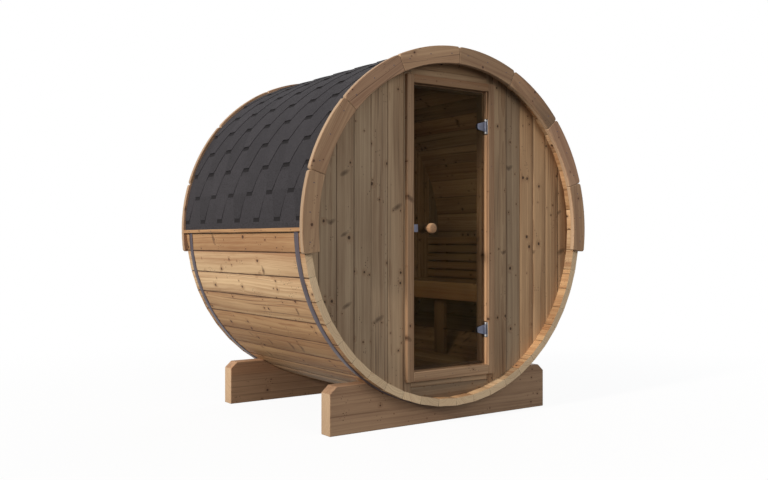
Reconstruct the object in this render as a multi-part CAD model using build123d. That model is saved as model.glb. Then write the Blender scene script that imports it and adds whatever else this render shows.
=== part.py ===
from build123d import *
from math import asin, cos, floor, pi, sin, sqrt, tan
import os

# A barrel sauna that lies along Y with its door towards -Y. Lengths are in millimetres.
# Z is zero on the ground, and X and Y are zero under the middle of the barrel.
# Sections are drawn from the front, round the barrel's axis, and lifted to its height at the end.

# Gap between pieces that rest on each other, and how far every cut runs past what it cuts
REST_GAP = 0.3
OVERRUN = 5.0

# Staves: flat-faced boards edge to edge round the barrel, grooved near each end for the end walls
STAVE_COUNT = 48
STAVE_FACE_RADIUS = 1004.0
STAVE_THICKNESS = 42.0
STAVE_LENGTH = 1466.0
STAVE_GAP = 0.4
CROZE_DEPTH = 8.0

# End walls: set back from the stave ends, with their edge in the staves' groove
WALL_RECESS = 60.0
WALL_THICKNESS = 42.0
WALL_JOINT = 0.5

# Hoops: steel bands round the staves, one near each end
HOOP_INSET = 47.0
HOOP_WIDTH = 43.0
HOOP_THICKNESS = 1.5

# Cradles: planks on edge, hollowed to the barrel, with their top corners cut off
CRADLE_LENGTH = 1573.0
CRADLE_HEIGHT = 263.0
CRADLE_THICKNESS = 88.0
CRADLE_WEB = 98.5
CRADLE_HOOP_GAP = 7.0
CRADLE_CORNER_RUN = 43.0
CRADLE_CORNER_RISE = 38.0

# Battens: strips along both sides that close the lower edge of the roofing
BATTEN_HEIGHT = 20.0
BATTEN_THICKNESS = 18.5
BATTEN_DROP = 13.0

# Roofing: bitumen shingle over the upper half, over the hoops
ROOF_THICKNESS = 8.5
RIDGE_GAP = 0.6

# Fascia: curved boards on the stave ends, from the top down past the battens
FASCIA_LIP = 21.0
FASCIA_WIDTH = 98.0
FASCIA_THICKNESS = 30.0
FASCIA_DROP = 141.0
FASCIA_BOARDS = 4
FASCIA_GAP = 2.0
FASCIA_OUTER_CORNER_RADIUS = 16.0
FASCIA_INNER_CORNER_RADIUS = 6.0

# Door frame: casing boards on the face of the front wall, and jambs in its opening that stop the leaf.
# The right jamb has a hinge stile: a lip beside the leaf, set back from the casing and notched at the hinges
CASING_HALF_WIDTH = 321.5
CASING_WIDTH = 46.0
SILL_CASING_WIDTH = 54.0
CASING_THICKNESS = 25.0
CASING_MARGIN = 53.0
CASING_OVERHANG = 5.5
JAMB_SETBACK = 15.0
JAMB_DEPTH = 46.0
JAMB_STEP = 20.5
STILE_SETBACK = 14.0
STILE_LEAF_GAP = 5.0
STILE_NOTCH_GAP = 5.0

# Door leaf: one sheet of tinted glass
GLASS_THICKNESS = 8.0
GLASS_STOP_GAP = 5.0
GLASS_FREE_GAP = 8.0
GLASS_HINGE_GAP = 13.0
GLASS_HOLE_RADIUS = 5.0
GLASS_HOLE_CLEARANCE = 1.0

# Hinges: a plate with a pin on the casing's edge, and a tapered clamp bolted through the glass
HINGE_END_DISTANCE = 198.0
HINGE_HEIGHT = 85.0
HINGE_PLATE_THICKNESS = 2.5
HINGE_PLATE_DEPTH = 23.0
HINGE_PIVOT_OFFSET = 9.0
KNUCKLE_RADIUS = 6.5
KNUCKLE_GAP = 0.5
PIN_RADIUS = 3.0
PIN_CLEARANCE = 0.1
CLAMP_HEIGHT = 58.0
CLAMP_TIP_HEIGHT = 32.0
CLAMP_REACH = 54.0
CLAMP_THICKNESS = 5.0
CLAMP_CORNER_RADIUS = 13.0
CLAMP_BOLT_INSET = 17.0
CLAMP_BACK_INSET = 17.0

# Knobs: turned wood on both faces of the glass, joined through it
KNOB_INSET = 96.0
KNOB_RADIUS = 28.5
KNOB_LENGTH = 66.0
KNOB_NECK_RADIUS = 10.0
KNOB_NECK_LENGTH = 26.0
KNOB_FLARE_LENGTH = 12.0
KNOB_ROUNDING = 9.0
INNER_KNOB_LENGTH_SHARE = 0.6

# Catch: a steel clip folded over the free edge of the glass at the height of the knob
CATCH_HEIGHT = 43.0
CATCH_WIDTH = 40.0
CATCH_THICKNESS = 2.0

# Floor: slats along the barrel on bearers cut to its curve
FLOOR_HEIGHT = 158.0
FLOOR_SLAT_WIDTH = 95.0
FLOOR_SLAT_THICKNESS = 22.0
FLOOR_SLAT_GAP = 9.0
FLOOR_END_GAP = 6.0
FLOOR_SIDE_GAP = 8.0
FLOOR_BEARERS = 3
FLOOR_BEARER_THICKNESS = 45.0
FLOOR_BEARER_INSET = 120.0

# Bench: a slatted seat along the right side, with a deep front board, one leg and a slatted backrest
BENCH_FRONT = 432.0
SEAT_HEIGHT = 462.0
SEAT_BOARDS = 4
SEAT_BOARD_THICKNESS = 28.0
SEAT_BOARD_GAP = 8.0
SEAT_BACK_GAP = 2.0
APRON_HEIGHT = 112.0
APRON_THICKNESS = 28.0
LEG_WIDTH = 100.0
LEG_THICKNESS = 28.0
BEARER_HEIGHT = 45.0
BEARER_THICKNESS = 28.0
BACKREST_SLATS = 5
BACKREST_SLAT_HEIGHT = 48.0
BACKREST_SLAT_THICKNESS = 20.0
BACKREST_PITCH = 60.0
BACKREST_SEAT_GAP = 9.0
BACKREST_POST_WIDTH = 60.0
BACKREST_POST_THICKNESS = 18.0
BACKREST_POST_INSET = 130.0

# Radii and planes that the pieces share
half_pitch = pi / STAVE_COUNT
barrel_radius = STAVE_FACE_RADIUS / cos(half_pitch)
room_radius = STAVE_FACE_RADIUS - STAVE_THICKNESS
croze_radius = room_radius + CROZE_DEPTH
wall_radius = croze_radius - REST_GAP
hoop_inner = barrel_radius + REST_GAP
hoop_outer = hoop_inner + HOOP_THICKNESS
cradle_radius = barrel_radius + REST_GAP
axis_height = CRADLE_WEB + cradle_radius
half_length = STAVE_LENGTH / 2
wall_outer = half_length - WALL_RECESS
wall_inner = wall_outer - WALL_THICKNESS


def rect(left, right, low, high):
    """Rectangle in a section seen from the front."""
    return Pos((left + right) / 2, (low + high) / 2) * Rectangle(right - left, high - low)


def prism(section, near, far):
    """Solid with this section, from plane Y = near back to plane Y = far."""
    return Pos(0, far, 0) * extrude(Plane.XZ * section, amount=far - near)


def box(left, right, near, far, low, high):
    """Plain board between three pairs of planes."""
    return prism(rect(left, right, low, high), near, far)


def upright(radius, x, y, low, high):
    """Round bar that stands between two heights."""
    return Pos(x, y, (low + high) / 2) * Cylinder(radius, high - low)


def through(radius, x, z, near, far):
    """Round bar that runs from front to back."""
    return prism(Pos(x, z) * Circle(radius), near, far)


def both_ends(solid):
    """The solid at the front end and its twin at the rear end."""
    return solid, mirror(solid, Plane.XZ)


def chord(radius, height):
    """Half the width of a circle at this height from its middle."""
    return sqrt(radius * radius - height * height)


def save(node, *solids):
    """Lift the solids of one node to the height of the barrel's axis and write them."""
    lifted = [Pos(0, 0, axis_height) * solid for solid in solids]
    export_step(Compound(lifted) if len(lifted) > 1 else lifted[0], f"parts/{node}.step")


def stave():
    """One stave on the +X side, with a groove for the end wall near each end."""
    def half_width(radius):
        return radius * tan(half_pitch) - STAVE_GAP / 2 / cos(half_pitch)

    outer_half = half_width(STAVE_FACE_RADIUS)
    inner_half = half_width(room_radius)
    section = Polygon(
        (room_radius, -inner_half),
        (STAVE_FACE_RADIUS, -outer_half),
        (STAVE_FACE_RADIUS, outer_half),
        (room_radius, inner_half),
        align=None,
    )
    board = prism(section, -half_length, half_length)
    groove = prism(Circle(croze_radius), -wall_outer - REST_GAP, -wall_inner + REST_GAP)
    for cut in both_ends(groove):
        board -= cut
    return board


def staves():
    """A full ring of staves, written as four quarters."""
    board = stave()
    quarter = STAVE_COUNT // 4
    names = ("upper_right", "upper_left", "lower_left", "lower_right")
    for index, name in enumerate(names):
        turns = range(index * quarter, (index + 1) * quarter)
        angles = [(turn + 1 / 2) * 360 / STAVE_COUNT for turn in turns]
        save(f"staves_{name}", *[Rot(0, -angle, 0) * board for angle in angles])


def hoop_band(inner, outer, side_gap):
    """Ring at the place of the front hoop."""
    near = -half_length + HOOP_INSET - side_gap
    far = near + HOOP_WIDTH + 2 * side_gap
    return prism(Circle(outer) - Circle(inner), near, far)


def hoops():
    """The two steel bands."""
    front, rear = both_ends(hoop_band(hoop_inner, hoop_outer, 0))
    save("front_hoop", front)
    save("rear_hoop", rear)


def cradles():
    """Two planks on edge that the barrel lies in."""
    half = CRADLE_LENGTH / 2
    low = -axis_height
    high = low + CRADLE_HEIGHT
    outline = Polygon(
        (-half, low),
        (half, low),
        (half, high - CRADLE_CORNER_RISE),
        (half - CRADLE_CORNER_RUN, high),
        (-half + CRADLE_CORNER_RUN, high),
        (-half, high - CRADLE_CORNER_RISE),
        align=None,
    )
    near = -half_length + HOOP_INSET + HOOP_WIDTH + CRADLE_HOOP_GAP
    front, rear = both_ends(prism(outline - Circle(cradle_radius), near, near + CRADLE_THICKNESS))
    save("front_cradle", front)
    save("rear_cradle", rear)


def roofing():
    """The shingled skin over the upper half, parted at the ridge and hollowed over the hoops."""
    inner = barrel_radius + REST_GAP
    outer = inner + ROOF_THICKNESS
    eave = -BATTEN_DROP + BATTEN_HEIGHT / 2 + REST_GAP
    section = (Circle(outer) - Circle(inner)) & rect(RIDGE_GAP / 2, outer + OVERRUN, eave, outer + OVERRUN)
    skin = prism(section, -half_length, half_length)
    for cut in both_ends(hoop_band(inner - OVERRUN, hoop_outer + REST_GAP, REST_GAP)):
        skin -= cut
    save("roof_right", skin)
    save("roof_left", mirror(skin, Plane.YZ))


def battens():
    """The strips under the edges of the roofing, over the hoops."""
    near_side = hoop_outer + REST_GAP
    strip = box(
        near_side,
        near_side + BATTEN_THICKNESS,
        -half_length,
        half_length,
        -BATTEN_DROP - BATTEN_HEIGHT / 2,
        -BATTEN_DROP + BATTEN_HEIGHT / 2,
    )
    save("right_batten", strip)
    save("left_batten", mirror(strip, Plane.YZ))


def fascia_board(start, stop):
    """Curved board between two angles, with its corners rounded, the outer ones more."""
    outer = barrel_radius + FASCIA_LIP
    inner = outer - FASCIA_WIDTH

    def polar(radius, angle):
        return radius * cos(angle), radius * sin(angle)

    middle = (start + stop) / 2
    outer_trim = FASCIA_GAP / 2 / outer
    inner_trim = FASCIA_GAP / 2 / inner
    outer_low = polar(outer, start + outer_trim)
    outer_high = polar(outer, stop - outer_trim)
    inner_low = polar(inner, start + inner_trim)
    inner_high = polar(inner, stop - inner_trim)
    outline = make_face([
        ThreePointArc(outer_low, polar(outer, middle), outer_high),
        Line(outer_high, inner_high),
        ThreePointArc(inner_high, polar(inner, middle), inner_low),
        Line(inner_low, outer_low),
    ])
    corners = outline.vertices().sort_by(lambda corner: Vector(corner).length)
    outline = fillet(corners[:2], FASCIA_INNER_CORNER_RADIUS)
    corners = outline.vertices().sort_by(lambda corner: Vector(corner).length)
    outline = fillet(corners[-2:], FASCIA_OUTER_CORNER_RADIUS)
    back = -half_length - REST_GAP
    return prism(outline, back - FASCIA_THICKNESS, back)


def fascias():
    """Boards that cap the stave ends round the upper part of both ends."""
    start = -asin(FASCIA_DROP / (barrel_radius + FASCIA_LIP))
    step = (pi / 2 - start) / FASCIA_BOARDS
    right = [fascia_board(start + i * step, start + (i + 1) * step) for i in range(FASCIA_BOARDS)]
    left = [mirror(board, Plane.YZ) for board in right]
    for side, boards in (("right", right), ("left", left)):
        save(f"front_fascia_{side}", *boards)
        save(f"rear_fascia_{side}", *[mirror(board, Plane.XZ) for board in boards])


# Door opening: the edges of the casing, the wall opening, the jambs and the leaf, seen from the front
casing_top = chord(room_radius, CASING_HALF_WIDTH) - CASING_MARGIN
casing_bottom = -casing_top
clear_half = CASING_HALF_WIDTH - CASING_WIDTH
clear_top = casing_top - CASING_WIDTH
clear_bottom = casing_bottom + SILL_CASING_WIDTH
opening_half = clear_half + CASING_OVERHANG
opening_top = clear_top + CASING_OVERHANG
opening_bottom = clear_bottom - CASING_OVERHANG
casing_back = -wall_outer - REST_GAP
casing_front = casing_back - CASING_THICKNESS
jamb_front = -wall_outer + JAMB_SETBACK
jamb_back = jamb_front + JAMB_DEPTH
glass_back = jamb_front - GLASS_STOP_GAP
glass_front = glass_back - GLASS_THICKNESS
glass_left = -clear_half + GLASS_FREE_GAP
glass_right = clear_half - GLASS_HINGE_GAP
glass_top = clear_top - GLASS_FREE_GAP
glass_bottom = clear_bottom + GLASS_FREE_GAP
spigot_radius = GLASS_HOLE_RADIUS - GLASS_HOLE_CLEARANCE
hinge_heights = (glass_bottom + HINGE_END_DISTANCE, glass_top - HINGE_END_DISTANCE)
hinge_face = clear_half - REST_GAP - HINGE_PLATE_THICKNESS
pivot_x = hinge_face - KNUCKLE_GAP - KNUCKLE_RADIUS
pivot_y = glass_front - HINGE_PIVOT_OFFSET
clamp_left = glass_right - CLAMP_REACH
clamp_bolt_x = clamp_left + CLAMP_BOLT_INSET
knob_x = glass_left + KNOB_INSET


def walls():
    """The front wall round its opening, in four panels, and the rear wall."""
    disc = Circle(wall_radius)
    far_edge = wall_radius + OVERRUN
    between = opening_half - WALL_JOINT
    panels = {
        "front_wall_left": rect(-far_edge, -opening_half, -far_edge, far_edge),
        "front_wall_right": rect(opening_half, far_edge, -far_edge, far_edge),
        "front_wall_over_door": rect(-between, between, opening_top, far_edge),
        "front_wall_under_door": rect(-between, between, -far_edge, opening_bottom),
    }
    for name, window in panels.items():
        save(name, prism(disc & window, -wall_outer, -wall_inner))
    save("rear_wall", prism(disc, wall_inner, wall_outer))


def hinge_stile():
    """Lip of the right jamb between the casing and the leaf, with a notch for each hinge."""
    left = glass_right + STILE_LEAF_GAP
    right = clear_half - REST_GAP
    near = casing_front + STILE_SETBACK
    stile = box(left, right, near, jamb_front, clear_bottom + REST_GAP, clear_top - REST_GAP)
    reach = HINGE_HEIGHT / 2 + STILE_NOTCH_GAP
    for height in hinge_heights:
        low = height - reach
        high = height + reach
        stile -= box(left - OVERRUN, right + OVERRUN, near - OVERRUN, jamb_front, low, high)
    return stile


def door_frame():
    """Casing boards round the opening and the jambs inside it."""
    half = CASING_HALF_WIDTH
    side = box(clear_half, half, casing_front, casing_back, casing_bottom, casing_top)
    save("right_casing", side)
    save("left_casing", mirror(side, Plane.YZ))
    between = clear_half - WALL_JOINT
    save("head_casing", box(-between, between, casing_front, casing_back, clear_top, casing_top))
    save("sill_casing", box(-between, between, casing_front, casing_back, casing_bottom, clear_bottom))

    outer = opening_half - REST_GAP
    inner = clear_half - JAMB_STEP
    top = opening_top - REST_GAP
    bottom = opening_bottom + REST_GAP
    jamb = box(inner, outer, jamb_front, jamb_back, bottom, top)
    save("right_jamb", jamb + hinge_stile())
    save("left_jamb", mirror(jamb, Plane.YZ))
    reach = inner - WALL_JOINT
    save("head_jamb", box(-reach, reach, jamb_front, jamb_back, clear_top - JAMB_STEP, top))
    save("door_sill", box(-reach, reach, jamb_front, jamb_back, bottom, clear_bottom + JAMB_STEP))


def door_glass():
    """The leaf, drilled for both hinge clamps and the knob."""
    section = rect(glass_left, glass_right, glass_bottom, glass_top)
    for height in hinge_heights:
        section -= Pos(clamp_bolt_x, height) * Circle(GLASS_HOLE_RADIUS)
    section -= Pos(knob_x, 0) * Circle(GLASS_HOLE_RADIUS)
    save("door_glass", prism(section, glass_front, glass_back))


def hinge_plate(height):
    """Plate on the edge of the casing, with a knuckle at each end and the pin between them."""
    low = height - HINGE_HEIGHT / 2
    high = height + HINGE_HEIGHT / 2
    back = hinge_face + HINGE_PLATE_THICKNESS
    near = pivot_y - HINGE_PLATE_DEPTH / 2
    plate = box(hinge_face, back, near, near + HINGE_PLATE_DEPTH, low, high)
    knuckle_half = CLAMP_HEIGHT / 2 + KNUCKLE_GAP
    for bottom, top in ((low, height - knuckle_half), (height + knuckle_half, high)):
        plate += upright(KNUCKLE_RADIUS, pivot_x, pivot_y, bottom, top)
        plate += box(pivot_x, back, pivot_y - PIN_RADIUS, pivot_y + PIN_RADIUS, bottom, top)
    return plate + upright(PIN_RADIUS, pivot_x, pivot_y, low, high)


def hinge_clamp(height):
    """Tapered cheeks on both faces of the glass, bolted through it, with the moving knuckle."""
    low = height - CLAMP_HEIGHT / 2
    high = height + CLAMP_HEIGHT / 2
    tip_half = CLAMP_TIP_HEIGHT / 2

    def cheek(right, near):
        tongue = Polygon(
            (clamp_left, height - tip_half),
            (glass_right, low),
            (glass_right, high),
            (clamp_left, height + tip_half),
            align=None,
        )
        corners = tongue.vertices().sort_by(Axis.X)[:2]
        tongue = fillet(corners, CLAMP_CORNER_RADIUS) & rect(clamp_left, right, low, high)
        return prism(tongue, near, near + CLAMP_THICKNESS)

    front_near = glass_front - REST_GAP - CLAMP_THICKNESS
    back_near = glass_back + REST_GAP
    clamp = cheek(glass_right, front_near) + cheek(glass_right - CLAMP_BACK_INSET, back_near)
    clamp += through(spigot_radius, clamp_bolt_x, height, front_near, back_near + CLAMP_THICKNESS)
    web_left = glass_right - KNUCKLE_RADIUS
    clamp += box(web_left, pivot_x, pivot_y - PIN_RADIUS, front_near + CLAMP_THICKNESS, low, high)
    clamp += upright(KNUCKLE_RADIUS, pivot_x, pivot_y, low, high)
    return clamp - upright(PIN_RADIUS + PIN_CLEARANCE, pivot_x, pivot_y, low - OVERRUN, high + OVERRUN)


def hinges():
    """Upper and lower hinge, the fixed halves in one node and the moving halves in another."""
    save("hinge_plates", *[hinge_plate(height) for height in hinge_heights])
    save("hinge_clamps", *[hinge_clamp(height) for height in hinge_heights])


def turned_knob(length):
    """Knob turned about the Y axis, from its foot at Y = 0 out to Y = length."""
    profile = Polygon(
        (0, 0),
        (KNOB_NECK_RADIUS, 0),
        (KNOB_NECK_RADIUS, length * KNOB_NECK_LENGTH / KNOB_LENGTH),
        (KNOB_RADIUS, length * (KNOB_NECK_LENGTH + KNOB_FLARE_LENGTH) / KNOB_LENGTH),
        (KNOB_RADIUS, length),
        (0, length),
        align=None,
    )
    rim = [corner for corner in profile.vertices() if corner.X > KNOB_NECK_RADIUS]
    return revolve(fillet(rim, KNOB_ROUNDING), Axis.Y)


def knobs():
    """The outer knob with its spigot through the glass, and the shorter one inside."""
    foot = glass_front - REST_GAP
    outer = Pos(knob_x, foot, 0) * mirror(turned_knob(KNOB_LENGTH), Plane.XZ)
    outer += through(spigot_radius, knob_x, 0, foot, glass_back)
    save("door_knob", outer)
    inner = turned_knob(KNOB_LENGTH * INNER_KNOB_LENGTH_SHARE)
    save("inner_knob", Pos(knob_x, glass_back + REST_GAP, 0) * inner)


def catch():
    """Steel clip over the free edge of the glass."""
    edge = glass_left - REST_GAP
    inner_near = glass_front - REST_GAP
    inner_far = glass_back + REST_GAP
    low = -CATCH_HEIGHT / 2
    high = CATCH_HEIGHT / 2
    left = edge - CATCH_THICKNESS
    right = left + CATCH_WIDTH
    clip = box(left, right, inner_near - CATCH_THICKNESS, inner_far + CATCH_THICKNESS, low, high)
    clip -= box(edge, right + OVERRUN, inner_near, inner_far, low - OVERRUN, high + OVERRUN)
    save("catch_clip", clip)


# Heights inside the room, from the barrel's axis
floor_top = -room_radius + FLOOR_HEIGHT
seat_top = floor_top + SEAT_HEIGHT
seat_under = seat_top - SEAT_BOARD_THICKNESS
seat_back = chord(room_radius, seat_under) - SEAT_BACK_GAP
apron_back = BENCH_FRONT + APRON_THICKNESS
leg_back = apron_back + REST_GAP + LEG_THICKNESS
bench_end = wall_inner - REST_GAP


def duckboard():
    """Floor slats between the door sill and the rear wall, on bearers that lie on the staves."""
    slat_under = floor_top - FLOOR_SLAT_THICKNESS
    half = min(chord(room_radius, slat_under) - FLOOR_SIDE_GAP, BENCH_FRONT - FLOOR_SIDE_GAP)
    near = jamb_back + FLOOR_END_GAP
    far = wall_inner - FLOOR_END_GAP
    pitch = FLOOR_SLAT_WIDTH + FLOOR_SLAT_GAP
    count = floor((2 * half + FLOOR_SLAT_GAP) / pitch)
    first = -(count * pitch - FLOOR_SLAT_GAP) / 2
    lefts = [first + i * pitch for i in range(count)]
    save("floor_slats", *[box(x, x + FLOOR_SLAT_WIDTH, near, far, slat_under, floor_top) for x in lefts])

    bearer_top = slat_under - REST_GAP
    section = Circle(room_radius - REST_GAP) & rect(first, -first, -room_radius - OVERRUN, bearer_top)
    span = far - near - 2 * FLOOR_BEARER_INSET - FLOOR_BEARER_THICKNESS
    starts = [near + FLOOR_BEARER_INSET + i * span / (FLOOR_BEARERS - 1) for i in range(FLOOR_BEARERS)]
    save("floor_bearers", *[prism(section, y, y + FLOOR_BEARER_THICKNESS) for y in starts])


def bench():
    """Seat boards on bearers, the front board, its leg, and the backrest."""
    seat_front = apron_back + SEAT_BOARD_GAP
    width = (seat_back - seat_front - (SEAT_BOARDS - 1) * SEAT_BOARD_GAP) / SEAT_BOARDS
    lefts = [seat_front + i * (width + SEAT_BOARD_GAP) for i in range(SEAT_BOARDS)]
    save("bench_seat", *[box(x, x + width, -bench_end, bench_end, seat_under, seat_top) for x in lefts])
    apron_low = seat_top - APRON_HEIGHT
    save("bench_apron", box(BENCH_FRONT, apron_back, -bench_end, bench_end, apron_low, seat_top))

    leg_front = apron_back + REST_GAP
    half = LEG_WIDTH / 2
    leg = box(leg_front, leg_back, -half, half, -room_radius - OVERRUN, seat_under - REST_GAP)
    save("bench_leg", leg & prism(Circle(room_radius - REST_GAP), -half_length, half_length))

    bearer_top = seat_under - REST_GAP
    bearer_low = bearer_top - BEARER_HEIGHT
    bearer_end = chord(room_radius, bearer_low) - SEAT_BACK_GAP
    bearer_far = -bench_end + BEARER_THICKNESS
    front_end = box(leg_front, bearer_end, -bench_end, bearer_far, bearer_low, bearer_top)
    half = BEARER_THICKNESS / 2
    middle = box(leg_back + REST_GAP, bearer_end, -half, half, bearer_low, bearer_top)
    save("bench_bearers", *both_ends(front_end), middle)

    post_back = chord(room_radius, seat_top) - SEAT_BACK_GAP
    post_front = post_back - BACKREST_POST_THICKNESS
    slat_back = post_front - REST_GAP
    slat_front = slat_back - BACKREST_SLAT_THICKNESS
    lows = [seat_top + BACKREST_SEAT_GAP + i * BACKREST_PITCH for i in range(BACKREST_SLATS)]
    slats = [box(slat_front, slat_back, -bench_end, bench_end, z, z + BACKREST_SLAT_HEIGHT) for z in lows]
    save("backrest_slats", *slats)
    near = -bench_end + BACKREST_POST_INSET
    high = lows[-1] + BACKREST_SLAT_HEIGHT
    post = box(post_front, post_back, near, near + BACKREST_POST_WIDTH, seat_top + REST_GAP, high)
    save("backrest_posts", *both_ends(post))


os.makedirs("parts", exist_ok=True)
staves()
hoops()
cradles()
roofing()
battens()
fascias()
walls()
door_frame()
door_glass()
hinges()
knobs()
catch()
duckboard()
bench()
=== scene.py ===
import math
import random

import bmesh
import bpy
import numpy as np
from mathutils import Matrix, Vector


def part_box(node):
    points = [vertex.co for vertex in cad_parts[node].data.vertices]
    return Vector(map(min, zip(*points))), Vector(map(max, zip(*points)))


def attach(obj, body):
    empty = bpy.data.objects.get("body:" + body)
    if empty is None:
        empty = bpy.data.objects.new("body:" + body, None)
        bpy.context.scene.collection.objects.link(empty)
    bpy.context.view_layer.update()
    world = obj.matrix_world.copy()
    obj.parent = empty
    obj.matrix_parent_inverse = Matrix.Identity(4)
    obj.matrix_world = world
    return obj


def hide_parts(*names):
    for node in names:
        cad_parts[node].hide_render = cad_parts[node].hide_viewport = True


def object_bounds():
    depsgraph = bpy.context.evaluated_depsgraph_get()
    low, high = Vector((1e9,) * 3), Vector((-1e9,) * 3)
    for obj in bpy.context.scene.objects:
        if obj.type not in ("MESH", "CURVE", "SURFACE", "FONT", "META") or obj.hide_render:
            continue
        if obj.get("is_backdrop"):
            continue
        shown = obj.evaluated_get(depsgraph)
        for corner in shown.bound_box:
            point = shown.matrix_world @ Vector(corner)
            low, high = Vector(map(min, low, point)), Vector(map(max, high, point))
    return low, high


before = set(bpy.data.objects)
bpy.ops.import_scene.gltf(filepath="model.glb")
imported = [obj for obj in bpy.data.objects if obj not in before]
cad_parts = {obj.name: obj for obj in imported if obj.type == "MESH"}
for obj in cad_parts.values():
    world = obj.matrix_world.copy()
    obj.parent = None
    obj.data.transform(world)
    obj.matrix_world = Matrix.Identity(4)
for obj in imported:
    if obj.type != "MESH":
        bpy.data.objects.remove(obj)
cad_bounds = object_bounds()


# Cradles: two thick softwood planks on edge, with the barrel's hollow sawn out of the top
# and the upper corners cut off. They stand on the ground and carry the whole barrel.
def shade(red, green, blue):
    """A colour from 0 to 255 per channel as the linear colour that a shader takes."""
    return tuple(((c / 255 + 0.055) / 1.055) ** 2.4 for c in (red, green, blue)) + (1.0,)


def pick(sockets, key):
    """The socket in use with this name or number, or the first in use."""
    if isinstance(key, int):
        return sockets[key]
    return next((s for s in sockets if s.enabled and key in (None, s.name)), None)


class Wire:
    """One output of a node. Sums, products and comparisons add their Math nodes."""

    def __init__(self, nodes, socket):
        self.nodes = nodes
        self.socket = socket

    def other(self, name):
        return Wire(self.nodes, pick(self.socket.node.outputs, name))

    def __add__(self, right):
        return self.nodes.maths("ADD", self, right)

    def __radd__(self, left):
        return self.nodes.maths("ADD", left, self)

    def __sub__(self, right):
        return self.nodes.maths("SUBTRACT", self, right)

    def __rsub__(self, left):
        return self.nodes.maths("SUBTRACT", left, self)

    def __mul__(self, right):
        return self.nodes.maths("MULTIPLY", self, right)

    def __rmul__(self, left):
        return self.nodes.maths("MULTIPLY", left, self)

    def __truediv__(self, right):
        return self.nodes.maths("DIVIDE", self, right)

    def __rtruediv__(self, left):
        return self.nodes.maths("DIVIDE", left, self)

    def __pow__(self, right):
        return self.nodes.maths("POWER", self, right)

    def __mod__(self, right):
        return self.nodes.maths("FLOORED_MODULO", self, right)

    def __lt__(self, right):
        return self.nodes.maths("LESS_THAN", self, right)

    def __gt__(self, right):
        return self.nodes.maths("GREATER_THAN", self, right)


class Nodes:
    """The nodes of one material or of one Geometry Nodes tree."""

    def __init__(self, tree):
        self.tree = tree

    def add(self, kind, settings=None, sockets=None, out=None):
        """A new node: first its settings, then the value, link or links of each socket."""
        node = self.tree.nodes.new(kind)
        for name, value in (settings or {}).items():
            setattr(node, name, value)
        for key, value in (sockets or {}).items():
            socket = pick(node.inputs, key)
            if not isinstance(value, (Wire, list)):
                socket.default_value = value
                continue
            for wire in value if isinstance(value, list) else [value]:
                self.tree.links.new(wire.socket, socket)
        return Wire(self, pick(node.outputs, out))

    def maths(self, operation, *values):
        return self.add("ShaderNodeMath", {"operation": operation}, dict(enumerate(values)))

    def vector(self, operation, *values):
        return self.add("ShaderNodeVectorMath", {"operation": operation}, dict(enumerate(values)))

    def point(self, x, y, z):
        return self.add("ShaderNodeCombineXYZ", sockets={0: x, 1: y, 2: z})

    def split(self, vector):
        parts = self.add("ShaderNodeSeparateXYZ", sockets={0: vector})
        return parts, parts.other("Y"), parts.other("Z")

    def noise(self, vector, scale, detail=2.0):
        """Cloud noise whose size differs along the three axes, from 0 to 1."""
        stretched = self.vector("MULTIPLY", vector, scale)
        return self.add("ShaderNodeTexNoise", sockets={"Vector": stretched, "Scale": 1.0, "Detail": detail})

    def rise(self, value, start, stop):
        """0 before start, 1 past stop, and smooth between them."""
        sockets = {"Value": value, "From Min": start, "From Max": stop}
        return self.add("ShaderNodeMapRange", {"interpolation_type": "SMOOTHSTEP"}, sockets, out="Result")

    def between(self, value, low, high):
        """The value, kept between two limits."""
        return self.maths("MINIMUM", self.maths("MAXIMUM", value, low), high)

    def mix(self, share, first, second):
        sockets = {"Factor": share, "A": first, "B": second}
        return self.add("ShaderNodeMix", {"data_type": "RGBA"}, sockets)

    def brighten(self, colour, amount):
        return self.add("ShaderNodeVectorMath", {"operation": "SCALE"}, {0: colour, "Scale": amount})

    def bump(self, height, strength, distance):
        sockets = {"Strength": strength, "Distance": distance, "Height": height}
        return self.add("ShaderNodeBump", sockets=sockets)

    def surface(self, **sockets):
        sockets = {label.replace("_", " "): value for label, value in sockets.items()}
        shader = self.add("ShaderNodeBsdfPrincipled", sockets=sockets)
        self.add("ShaderNodeOutputMaterial", sockets={"Surface": shader})


def finish(name):
    """A new material and its empty node tree."""
    material = bpy.data.materials.new(name)
    material.use_nodes = True
    material.node_tree.nodes.clear()
    return material, Nodes(material.node_tree)


WHORL_SPACING = 0.38
WHORL_SHARE = 0.1
KNOT_CELL = (0.052, 0.060, 1.0)
SPIKE_CELL = (0.21, 0.10, 1.0)
PIN_CELL = (0.013, 0.016, 1.0)
BRANCH_RISE = 0.45
RING_WIDTH = 0.0055
COOL_CAST = (0.90, 0.96, 1.03)
HEART_CAST = (0.92, 0.76, 0.66)
SAWN_CREAM = shade(226, 210, 180)


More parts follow.
